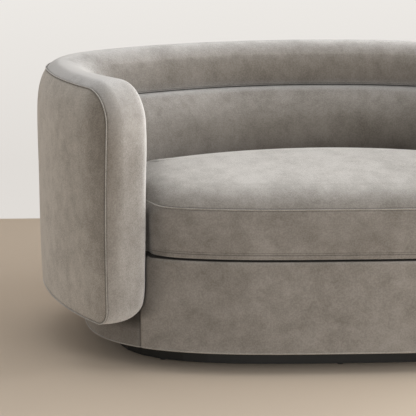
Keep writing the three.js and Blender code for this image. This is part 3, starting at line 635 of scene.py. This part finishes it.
# Painted shade in the crease and its stitches and over both rolls, most near the crease and low down;
# painted highlight on the lip below the crease and along the arm's inner edge at the nose.
above_crease = inner_height - crease_height
shade_reach = np.where(above_crease > 0, crease_shade_above, crease_shade_below)
near_crease = bell(np.clip(above_crease, 0, None), 0, near_crease_reach)
upper_roll_shade = upper_shade + near_crease_shade * near_crease
lower_roll_shade = lower_shade * smoothstep(-above_crease, *lower_shade_span)
crease_lip = bell(inner_height, crease_height - lip_below, lip_width)
inside_painted_shading = (
    crease_shade * bell(inner_height, crease_height, shade_reach)
    + stitch_shade * bell(above_crease, crease_stitch, stitch_shade_width)
    + np.where(above_crease > 0, upper_roll_shade, lower_roll_shade)
    - lip_highlight * crease_lip * (inner_height < crease_height - lip_end)
)
inner_nose = smoothstep(np.abs(inner_run), half_run - nose_top_radius, half_run - band_return)
inside_painted_shading = inside_painted_shading * (1 - inner_nose) - arm_edge_highlight * inner_nose * arm_edge(inner_height)

# The inside gets a copy of the cloth lighter than the outer panel's, as painted light.
inside_velvet = velvet(
    "velvet_inside",
    brush=(1.0, 1.0, 0.7),
    dark=(0.146, 0.127, 0.105, 1.0),
    light=(0.268, 0.240, 0.209, 1.0),
    bloom=(0.80, 0.79, 0.78, 1.0),
)
band_rings, band_painted_shading = band_section(ShellSide(inside_shares, border))
inside_cover = new_piece(
    "band_and_inside_cover",
    inside_velvet,
    *rimmed(inner_grid, band_rings, order=-1),
    painted_shading=np.concatenate([inside_painted_shading.reshape(-1), band_painted_shading]),
)
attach(inside_cover, "sofa")
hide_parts("edge_band", "upper_back_roll", "lower_back_roll", "inner_lining")


# Base covers
# Padded velvet stretched round the platform: one piece across the front, up to the seat, and one
# round the sides and back below the shell. They meet in a plain seam under each nose, over a hem.

base_side_inset, base_rear_inset, base_proud = 0.120, 0.048, 0.006
base_squareness = 3.2
base_seam = 0.512
plinth_height, seat_box_height = 0.055, 0.302
cover_clearance, front_drop = 0.0005, 0.0055
cover_hem, cover_hem_back = 0.005, 0.0115
cover_fullness = 0.0012
cover_top_radius, cover_top_back, cover_top_shade = 0.008, 0.024, (0.75, 1.35)
hem_turn_steps, face_steps, top_turn_steps = 9, 60, 13
cover_tuck, cover_tuck_reach = 0.004, 0.002
# Painted shade at the covers' ends, towards the noses, in the gap beside them and on the side cover;
# cover_top_shade above is the span of painted shade over the top turn.
end_shade, end_shade_reach = 0.5, 0.0012
side_rise, rise_span, rise_above = 0.018, (0.02, 0.12), 0.09
front_edge, front_edge_radius = 0.482, 0.009
front_fall, front_fall_reach, front_fall_power = 0.030, 0.014, 2.5
front_fall_heights = (0.115, 0.150)
front_end_shade, front_end_before, front_end_past = 0.52, 0.060, 0.010
front_gap_shade, front_gap_fall = 0.48, (0.6, 0.9)
side_shade, side_top_shade, side_top_start = 0.36, 0.49, 0.09
corner_line, front_steps, corner_count, side_steps = 0.470, 200, 34, 460
hem_radius, hem_proud, hem_rise, hem_steps, hem_sides = 0.0012, 0.0002, 0.0042, 900, 8

widest = plan_point(back_run + corner_radius * (math.pi / 2 - back_turn), 0.0)[0].item()
nose_x, nose_y = (value.item() for value in plan_point(half_run, shell_thickness))
base_half_width = widest - base_side_inset
base_rear = rear_reach - base_rear_inset
nose_share = (1 - (nose_x / base_half_width) ** base_squareness) ** (1 / base_squareness)
base_half_depth = (base_rear - nose_y + base_proud) / (1 + nose_share)
base_centre = base_rear - base_half_depth


def base_distance(angle):
    """How far the base's outline, |x/a|^n + |y/b|^n = 1, lies from its centre in one direction."""
    across = (np.abs(np.cos(angle)) / base_half_width) ** base_squareness
    along = (np.abs(np.sin(angle)) / base_half_depth) ** base_squareness
    return (across + along) ** (-1 / base_squareness)


def base_normal(angle):
    """The way the outline faces: the gradient of its formula, made one unit long."""
    reach = base_distance(angle)
    x, y = reach * np.cos(angle), reach * np.sin(angle)
    power = base_squareness - 1
    nx = np.sign(x) * (np.abs(x) / base_half_width) ** power / base_half_width
    ny = np.sign(y) * (np.abs(y) / base_half_depth) ** power / base_half_depth
    size = np.hypot(nx, ny)
    return nx / size, ny / size


def base_point(angle, inset, height):
    """A point of the base at a direction from its centre, an inset from its outline and a height."""
    angle, inset, height = np.broadcast_arrays(angle, inset, height)
    reach = base_distance(angle)
    nx, ny = base_normal(angle)
    x = reach * np.cos(angle) - nx * inset
    y = base_centre + reach * np.sin(angle) - ny * inset
    return np.stack([x, y, height], axis=-1)


def front_angle(x):
    """Direction from the base's centre to its front edge at a distance across."""
    share = (1 - (abs(x) / base_half_width) ** base_squareness) ** (1 / base_squareness)
    return math.atan2(-base_half_depth * share, x)


def cover_section(top):
    """Inset, height and painted shading up a padded cover: quarter circles at hem and top, half a sine
    between; painted shade over the top turn and on the hidden ends.
    """
    low, edge = plinth_height + cover_clearance, cover_top_radius
    rolled = np.linspace(-math.pi / 2, 0, hem_turn_steps)
    hem_inset = cover_hem - cover_hem * np.cos(rolled)
    hem_height = low + cover_hem + cover_hem * np.sin(rolled)
    face = np.linspace(0, 1, face_steps)[1:-1]
    face_height = low + cover_hem + (top - edge - low - cover_hem) * face
    face_inset = -cover_fullness * np.sin(math.pi * face)
    over = np.linspace(0, math.pi / 2, top_turn_steps)
    over_inset = edge - edge * np.cos(over)
    over_height = top - edge + edge * np.sin(over)
    inset = np.concatenate([[cover_hem_back], hem_inset, face_inset, over_inset, [cover_top_back]])
    height = np.concatenate([[low], hem_height, face_height, over_height, [top]])
    open_cloth = np.zeros(len(rolled) + len(face))
    painted_shading = np.concatenate([[1.0], open_cloth, smoothstep(over, *cover_top_shade), [1.0]])
    return inset, height, painted_shading


def cover_grid(angle, top, end_rise=0.0):
    """A cover's points over directions and its section, tucked in at its ends by e^(-distance / reach),
    with painted shade at the ends.

    Near the ends its top may rise a little, to close the place where the noses are rounded off.
    """
    inset, height, painted_shading = cover_section(top)
    from_end = np.minimum(angle - angle[0], angle[-1] - angle) * base_distance(angle)
    tuck = cover_tuck * np.exp(-from_end / cover_tuck_reach)
    near_end = (1 - smoothstep(from_end, *rise_span))[:, None]
    rise = end_rise * near_end * smoothstep(height, rise_above, top)
    points = base_point(angle[:, None], inset[None, :] + tuck[:, None], height[None, :] + rise)
    end_painted_shade = end_shade * np.exp(-from_end / end_shade_reach)
    return points, np.maximum(painted_shading[None, :], end_painted_shade[:, None])


def turned_in(points, painted_shading, top):
    """The front cover turned in beside the noses, so that a narrow shadow lies along each arm, deepened
    by painted shade.

    Past an edge that follows the nose's outline the cloth falls back by a power of the distance; the
    edge moves outwards, and the fall fades away, towards the shell's underside. At the top the edge
    rounds off inwards by a quarter circle.
    """
    x, y, height = points[..., 0], points[..., 1], points[..., 2]
    nose = 1 - depth_share(half_run, np.maximum(height, shell_bottom))
    rounded = np.clip((height - top + front_edge_radius) / front_edge_radius, 0, 1)
    edge = front_edge + (shell_thickness - band_crest) * nose
    edge = edge - front_edge_radius * (1 - np.sqrt(1 - rounded ** 2))
    past = np.clip((np.abs(x) - edge) / front_fall_reach, 0, 1)
    inwards = smoothstep(height, *front_fall_heights)
    back = front_fall * past ** front_fall_power * inwards
    # Painted shade towards each nose and in the gap beside it.
    shade = front_end_shade * smoothstep(np.abs(x), edge - front_end_before, edge + front_end_past)
    shade = shade + front_gap_shade * smoothstep(past, *front_gap_fall)
    return np.stack([x, y + back, height], axis=-1), np.maximum(painted_shading, shade * inwards)


# The base and seat share a lighter copy of the cloth, as painted light; the base's duller bloom is
# painted shade.
front_dark, front_light = (0.161, 0.144, 0.124, 1.0), (0.296, 0.272, 0.246, 1.0)
base_velvet = velvet("velvet_base", (0.8, 0.8, 0.9), front_dark, front_light, (0.62, 0.57, 0.51, 1.0))
seam_angle, corner_angle = front_angle(base_seam), front_angle(corner_line)
corner_steps = np.linspace(corner_angle, seam_angle, corner_count)[1:]
front_angles = np.concatenate([
    -math.pi - corner_steps[::-1],
    np.linspace(-math.pi - corner_angle, corner_angle, front_steps),
    corner_steps,
])
front_top = seat_box_height - front_drop
front_points, front_painted_shade = turned_in(*cover_grid(front_angles, front_top), front_top)
side_angles = np.linspace(seam_angle, math.pi - seam_angle, side_steps)
side_points, side_edge_painted_shade = cover_grid(side_angles, shell_bottom - cover_clearance, side_rise)
# Painted shade over the whole side and rear cover, darker up towards the shell.
side_top = smoothstep(side_points[..., 2], side_top_start, shell_bottom)
side_painted_shade = np.maximum(side_edge_painted_shade, side_shade + side_top_shade * side_top)
covers = (
    ("base_front_velvet", "base_front_cover", front_points, front_painted_shade),
    ("base_side_velvet", "base_side_cover", side_points, side_painted_shade),
)
for name, node, points, painted_shading in covers:
    cover = new_piece(name, base_velvet, points, grid_quads(grid_index(points)), painted_shading=painted_shading)
    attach(cover, "sofa")
    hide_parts(node)


def hem_line(inwards, up):
    """A line along the base's lower edge."""
    return base_point(sides(hem_steps), inwards - hem_proud, plinth_height + hem_rise + up)


hem_cord = cord("base_hem_cord", hem_radius, hem_sides, hem_line)
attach(hem_cord, "sofa")


# Plinth, glides and the hidden frame
# The plinth is bent board painted satin black, on nylon glides. Under the velvet the frame is bare
# plywood, the seat is sprung on woven webbing, and a thin dark cloth closes the underside.

darker, lighter = 0.72, 1.2


def plain_finish(name, colour, rough, scale, relief, stretch=(1.0, 1.0, 1.0), gloss=0.5):
    """A matt finish whose colour and bump follow one stretched noise."""
    material, tree, shader = new_material(name)
    place = add(tree, "TexCoord").outputs["Object"]
    turned = add(tree, "Mapping", {"Vector": place, "Scale": stretch}).outputs["Vector"]
    grain = add(tree, "TexNoise", {"Vector": turned, "Scale": scale, "Detail": 4.0}).outputs["Fac"]
    ramp = add(tree, "ValToRGB", {"Fac": grain})
    for element, share in zip(ramp.color_ramp.elements, (darker, lighter)):
        element.color = (*(share * value for value in colour), 1.0)
    bump = add(tree, "Bump", {"Strength": 0.3, "Distance": relief, "Height": grain})
    fill(tree, shader, {
        "Base Color": ramp.outputs["Color"],
        "Normal": bump.outputs["Normal"],
        "Roughness": rough,
        "Specular IOR Level": gloss,
    })
    return material


finishes = {
    "black_paint": plain_finish("satin_black_paint", (0.010, 0.0095, 0.0075), 0.5, 60.0, 0.0004),
    "plywood": plain_finish("bare_plywood", (0.55, 0.40, 0.24), 0.7, 14.0, 0.0005, (0.3, 0.3, 6.0)),
    "liner": plain_finish("lining_cloth", (0.034, 0.032, 0.029), 0.9, 420.0, 0.0006, gloss=0.15),
    "webbing": plain_finish("woven_webbing", (0.05, 0.045, 0.04), 0.85, 500.0, 0.0006),
    "nylon": plain_finish("glide_nylon", (0.012, 0.012, 0.012), 0.4, 90.0, 0.0002),
}
for part in frame["record"]["subparts"]:
    finish = finishes.get(part["material_slot"])
    node = bpy.data.objects.get(part["node"])
    if finish and node:
        for slot in node.material_slots:
            slot.material = finish


# Seat cushion
# A loose foam block in a boxed velvet cover, cut to fill the seat between the arms. Its top is
# crowned, piping goes round the top edge, and a tucked seam runs just above the rounded bottom edge.

cushion_bottom, cushion_edge, cushion_crown = 0.2995, 0.4295, 0.481
shoulder_rise, shoulder_length = 0.034, 0.034
cushion_gap, front_gap, arm_gap, nearer_roll = 0.0035, 0.003, 0.0025, 0.011
cushion_rounding = 0.030
cushion_steps, under_rings, side_rings, shoulder_rings, top_rings = 480, 16, 120, 44, 60
wall_samples, front_samples, wall_past = 1901, 4001, 1.28
line_place, line_shift, line_low = 0.4865, 0.0435, 0.008
line_lift_start, line_lift_end = 0.040, 0.004
fall_reach, fall_reach_more = 0.008, 0.042
fall_back, fall_back_more, fall_power = 0.030, 0.030, 3.5
bottom_edge_inset, bottom_edge_rise = 0.007, 0.009
underside = ((0.060, 0.003), (0.024, 0.003), (0.014, 0.0012))
side_fullness, side_drawn_in, side_drawn_power = 0.0022, 0.0028, 50
# Painted shade in the low seam and its stitch, under the bottom edge and on both sides of the piping.
low_seam, low_seam_depth, low_seam_shade = 0.0135, 0.0011, 0.6
low_stitch, low_stitch_depth, low_stitch_shade = 0.0190, 0.0005, 0.35
low_seam_width, under_shade = 0.0010, (-1.2, -0.7)
piping_radius, piping_clear, piping_sink, piping_sides = 0.0017, 0.0012, 0.0014, 12
under_piping, top_start, top_reach, top_power = 0.0034, 0.0026, 0.090, 1.6
below_piping_shade, below_piping_reach = 0.9, 0.0011
above_piping_shade, above_piping_reach = 0.8, 0.0010
# Painted shade beside the arms, in the gap at each arm and on the top's ends.
corner_place, corner_front, boxed_top, rear_top = 0.480, (0.022, 0.065), 0.012, 0.002
beside_arm_shade, beside_arm_span = 0.34, (0.420, 0.486)
arm_gap_shade, arm_gap_span = 0.48, (0.485, 0.489)
top_end_shade, top_end_span, rear_span = 0.38, (0.38, 0.53), (-0.38, -0.30)


def from_centre(x, y, angle):
    """Distance from the base's centre to a curve of points, in each direction; far where it isn't."""
    direction = np.arctan2(y - base_centre, x)
    direction = np.where(direction < -math.pi / 2, direction + 2 * math.pi, direction)
    order = np.argsort(direction)
    turned = np.where(angle < -math.pi / 2, angle + 2 * math.pi, angle)
    return np.interp(turned, direction[order], np.hypot(x, y - base_centre)[order], left=2.0, right=2.0)


def seat_outline(angle, inset, height):
    """How far the cushion reaches in each direction: to the base's front edge or to the back's face.

    The lesser of the two distances, the corner between them rounded off by a quadratic. The front
    edge falls back towards each arm by a power of the distance past a line, slightly and late up the
    side, more and sooner at the piping; at the very bottom the line rounds off inwards.
    """
    runs = np.linspace(-half_run * wall_past, half_run * wall_past, wall_samples)
    behind = rake_share(runs)
    rake = (backrest_rake - nearer_roll) * behind + arm_gap * (1 - behind)
    wall = from_centre(*plan_point(runs, shell_thickness + cushion_gap + inset + rake), angle)
    sweep = np.linspace(-math.pi, math.pi, front_samples)[1:]
    x, y, _ = np.moveaxis(base_point(sweep, front_gap + inset, 0.0), -1, 0)
    lift = smoothstep(height, cushion_edge - line_lift_start, cushion_edge + line_lift_end)
    low = np.clip((cushion_bottom + line_low - height) / line_low, 0, 1)
    line = line_place - line_shift * lift - line_low * (1 - math.sqrt(1 - low ** 2))
    past = np.clip((np.abs(x) - line) / (fall_reach + fall_reach_more * lift), 0, 1) * (y < base_centre)
    back = (fall_back + fall_back_more * lift) * past ** (fall_power - lift)
    front = from_centre(x, y + back, angle)
    overlap = np.maximum(cushion_rounding - np.abs(wall - front), 0) / cushion_rounding
    return np.minimum(wall, front) - overlap ** 2 * cushion_rounding / 4


def cushion_ring(inset, height):
    """One level of the cushion: its outline at an inset, with the height the same all round."""
    reach = seat_outline(cushion_angle, inset, height)
    x, y = reach * np.cos(cushion_angle), base_centre + reach * np.sin(cushion_angle)
    return np.stack([x, y, np.full_like(x, height)], axis=-1)


def cushion_top(inset):
    """Height of the top at a distance in from its edge: a rounded shoulder and a slower crown.

    edge + rise * (1 - e^(-d / length)) + rest * (1 - (1 - d / half depth)^3).
    """
    shoulder = shoulder_rise * (1 - np.exp(-inset / shoulder_length))
    rest = cushion_crown - cushion_edge - shoulder_rise
    return cushion_edge + shoulder + rest * (1 - (1 - inset / base_half_depth) ** 3)


def fan(rim, centre):
    """Triangles from a rim of vertex numbers to the one at its centre."""
    return np.stack([rim, np.roll(rim, -1), np.full_like(rim, centre)], axis=-1)


def cushion_profile():
    """Inset, height and painted shading from under the bottom edge, up the boxed side, over the piped top
    edge.

    A quarter ellipse, half a sine wave that a high power draws in at the piping, then the top.
    """
    piping_level = cushion_edge - piping_radius
    under = np.linspace(-math.pi / 2, 0, under_rings)
    under_inset, under_rise = np.transpose(underside)
    edge_inset = bottom_edge_inset - bottom_edge_inset * np.cos(under)
    start = cushion_bottom + bottom_edge_rise
    edge_height = start + bottom_edge_rise * np.sin(under)
    side = np.linspace(0, 1, side_rings)[1:]
    side_height = start + (piping_level - piping_clear - start) * side
    side_inset = -side_fullness * np.sin(math.pi * side) + side_drawn_in * side ** side_drawn_power
    tuck = bell(side_height - cushion_bottom, low_seam, low_seam_width)
    stitch = bell(side_height - cushion_bottom, low_stitch, low_seam_width)
    side_inset = side_inset + low_seam_depth * tuck + low_stitch_depth * stitch
    from_piping = top_reach * np.linspace(0, 1, shoulder_rings) ** top_power
    inset = np.concatenate([
        under_inset, edge_inset, side_inset, [under_piping], top_start + from_piping,
    ])
    height = np.concatenate([
        cushion_bottom + under_rise, edge_height, side_height, [piping_level], cushion_top(from_piping),
    ])
    # Painted shade: under the bottom edge, in the low seam and stitch, and beside the piping.
    below_piping = below_piping_shade * np.exp((side_height - side_height[-1]) / below_piping_reach)
    painted_shading = np.concatenate([
        np.ones(len(underside)),
        1 - smoothstep(under, *under_shade),
        low_seam_shade * tuck + low_stitch_shade * stitch + below_piping,
        [1.0],
        above_piping_shade * np.exp(-from_piping / above_piping_reach),
    ])
    return inset, height, painted_shading


def with_painted_corner_shade(points, painted_shading):
    """Painted shading with painted shade at the cushion's front corners beside the arms, where little
    light comes in, and on the top near its ends; the top edge's painted shade is kept to the front.
    """
    x, y, height = np.abs(points[:, 0]), points[:, 1], points[:, 2]
    boxed = 1 - smoothstep(height, cushion_edge - boxed_top, cushion_edge)
    corner_y = base_point(front_angle(corner_place), front_gap, 0.0)[1]
    at_front = 1 - smoothstep(y - corner_y, *corner_front)
    arm_gap_painted_shade = arm_gap_shade * smoothstep(x, *arm_gap_span) * boxed
    painted_shade_beside_arm = (beside_arm_shade * smoothstep(x, *beside_arm_span) + arm_gap_painted_shade) * at_front
    top_end_painted_shade = top_end_shade * smoothstep(x, *top_end_span) * (1 - boxed)
    rear = smoothstep(y, *rear_span) * smoothstep(height, cushion_edge - rear_top, cushion_edge)
    return np.maximum(painted_shading * (1 - rear), np.maximum(painted_shade_beside_arm, top_end_painted_shade))


cushion_angle = -math.pi / 2 + 2 * math.pi * (np.arange(cushion_steps) + 0.5) / cushion_steps
cushion_angle = np.where(cushion_angle > math.pi, cushion_angle - 2 * math.pi, cushion_angle)
profile_inset, profile_height, profile_painted_shade = cushion_profile()
cushion_rings = [cushion_ring(inset, height) for inset, height in zip(profile_inset, profile_height)]
shoulder = cushion_rings[-1]
centre = np.array([0.0, base_centre])
for share in np.linspace(1, 0, top_rings)[1:-1]:
    flat = centre + (shoulder[:, :2] - centre) * share
    height = cushion_top(base_half_depth - (base_half_depth - profile_inset[-1]) * share)
    cushion_rings.append(np.column_stack([flat, np.full(cushion_steps, height)]))
poles = [[0, base_centre, cushion_crown], [0, base_centre, cushion_bottom + underside[0][1]]]
cushion_points = np.concatenate([*cushion_rings, poles])
cushion_painted_shade = np.zeros(len(cushion_points))
cushion_painted_shade[:len(profile_painted_shade) * cushion_steps] = np.repeat(profile_painted_shade, cushion_steps)
cushion_index = ring_index(cushion_rings)
cushion = new_piece(
    "seat_cushion_cover",
    velvet("velvet_seat", (0.8, 0.5, 1.0), front_dark, front_light, (0.85, 0.83, 0.80, 1.0), spread=1.9),
    cushion_points,
    ring_quads(cushion_index),
    fan(cushion_index[-1], cushion_index.size),
    fan(cushion_index[0], cushion_index.size + 1)[:, ::-1],
    painted_shading=with_painted_corner_shade(cushion_points, cushion_painted_shade),
)
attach(cushion, "seat_cushion")
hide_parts("seat_cushion")


def cushion_line(inwards, up):
    """A line along the cushion's piped edge."""
    return cushion_ring(piping_sink + inwards, cushion_edge - piping_radius + up)


cushion_piping = cord("seat_cushion_piping", piping_radius, piping_sides, cushion_line)
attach(cushion_piping, "seat_cushion")
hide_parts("cushion_piping")


# Studio
# A plain pale floor and a backdrop that meets it behind the sofa. Window-like lamps light it from the
# right, with a front fill, weak lamps on the left and the ceiling, and an even white surround.

floor_colour, wall_colour = (0.62, 0.522, 0.420, 1.0), (0.90, 0.885, 0.87, 1.0)
# The backdrop's painted light: its glow low down and high up.
wall_low, wall_high = (0.745, 0.715, 0.680, 1.0), (0.880, 0.855, 0.820, 1.0)
wall_low_height, wall_high_height = 0.2, 1.0
wall_distance, wall_height, stage_half = 1.208, 6, 8
surround_strength = 0.40
lamp_colour = (1.0, 0.995, 0.985)
lamps = (
    ("right_window", (2.9, -0.3, 1.8), (0.0, 0.0, 0.4), 2.2, 88.0),
    ("right_front", (2.7, -3.0, 1.9), (0.0, 0.0, 0.4), 2.0, 50.0),
    ("front_fill", (0.0, -4.6, 0.56), (0.0, 0.0, 0.3), 1.1, 33.0),
    ("left_room", (-2.9, -0.6, 1.6), (0.0, 0.0, 0.3), 2.2, 3.5),
    ("ceiling", (-0.3, -0.6, 3.2), (-0.3, -0.5, 0.0), 3.0, 10.0),
)


def stage_material(name, colour):
    """A matt stage colour."""
    material, tree, shader = new_material(name)
    fill(tree, shader, {"Base Color": colour, "Roughness": 0.8, "Specular IOR Level": 0.1})
    return material


def backdrop_material():
    """The backdrop shows its tone plainly to the camera and in reflections, as a painted glow that is
    lighter higher up as painted light, and is clear when seen from behind.
    """
    material = stage_material("backdrop_finish", wall_colour)
    tree = material.node_tree
    matt = tree.nodes["Principled BSDF"].outputs["BSDF"]
    place = add(tree, "TexCoord").outputs["Object"]
    height = add(tree, "SeparateXYZ", {"Vector": place}).outputs["Z"]
    span = {"Value": height, "From Min": wall_low_height, "From Max": wall_high_height}
    tone = mixed(tree, add(tree, "MapRange", span).outputs["Result"], wall_low, wall_high)
    plain = add(tree, "Emission", {"Color": tone}).outputs["Emission"]
    path = add(tree, "LightPath").outputs
    rays = maths(tree, "MAXIMUM", path["Is Camera Ray"], path["Is Glossy Ray"])
    rays = maths(tree, "MAXIMUM", rays, path["Is Transmission Ray"])
    seen = add(tree, "MixShader", {"Fac": rays, 1: matt, 2: plain}).outputs["Shader"]
    clear = add(tree, "BsdfTransparent").outputs["BSDF"]
    behind = add(tree, "NewGeometry").outputs["Backfacing"]
    surface = add(tree, "MixShader", {"Fac": behind, 1: seen, 2: clear}).outputs["Shader"]
    fill(tree, tree.nodes["Material Output"], {"Surface": surface})
    return material


def stage_sheet(name, material, near, far):
    """A flat sheet as wide as the stage, from the y and z of one edge to those of the other."""
    corners = [(-stage_half, *near), (stage_half, *near), (stage_half, *far), (-stage_half, *far)]
    mesh = bpy.data.meshes.new(name)
    mesh.from_pydata(corners, [], [(0, 1, 2, 3)])
    mesh.materials.append(material)
    sheet = bpy.data.objects.new(name, mesh)
    scene.collection.objects.link(sheet)
    return sheet


def area_lamp(name, place, aim, size, power):
    """A square soft lamp at a place, turned to shine at a point."""
    data = bpy.data.lights.new(name, "AREA")
    data.shape = "SQUARE"
    data.size = size
    data.energy = power
    data.color = lamp_colour
    lamp = bpy.data.objects.new(name, data)
    lamp.location = place
    x, y, z = np.array(aim) - np.array(place)
    lamp.rotation_euler = (math.atan2(math.hypot(x, y), -z), 0.0, math.atan2(y, x) - math.pi / 2)
    scene.collection.objects.link(lamp)


floor_finish = stage_material("floor_finish", floor_colour)
floor = stage_sheet("floor", floor_finish, (-stage_half, 0), (stage_half, 0))
wall = stage_sheet("backdrop", backdrop_material(), (wall_distance, 0), (wall_distance, wall_height))

world = bpy.data.worlds.new("surround")
world.use_nodes = True
fill(world.node_tree, world.node_tree.nodes["Background"], {
    "Color": (1.0, 1.0, 1.0, 1.0),
    "Strength": surround_strength,
})
scene.world = world
for lamp in lamps:
    area_lamp(*lamp)

scene.view_settings.view_transform = "Standard"
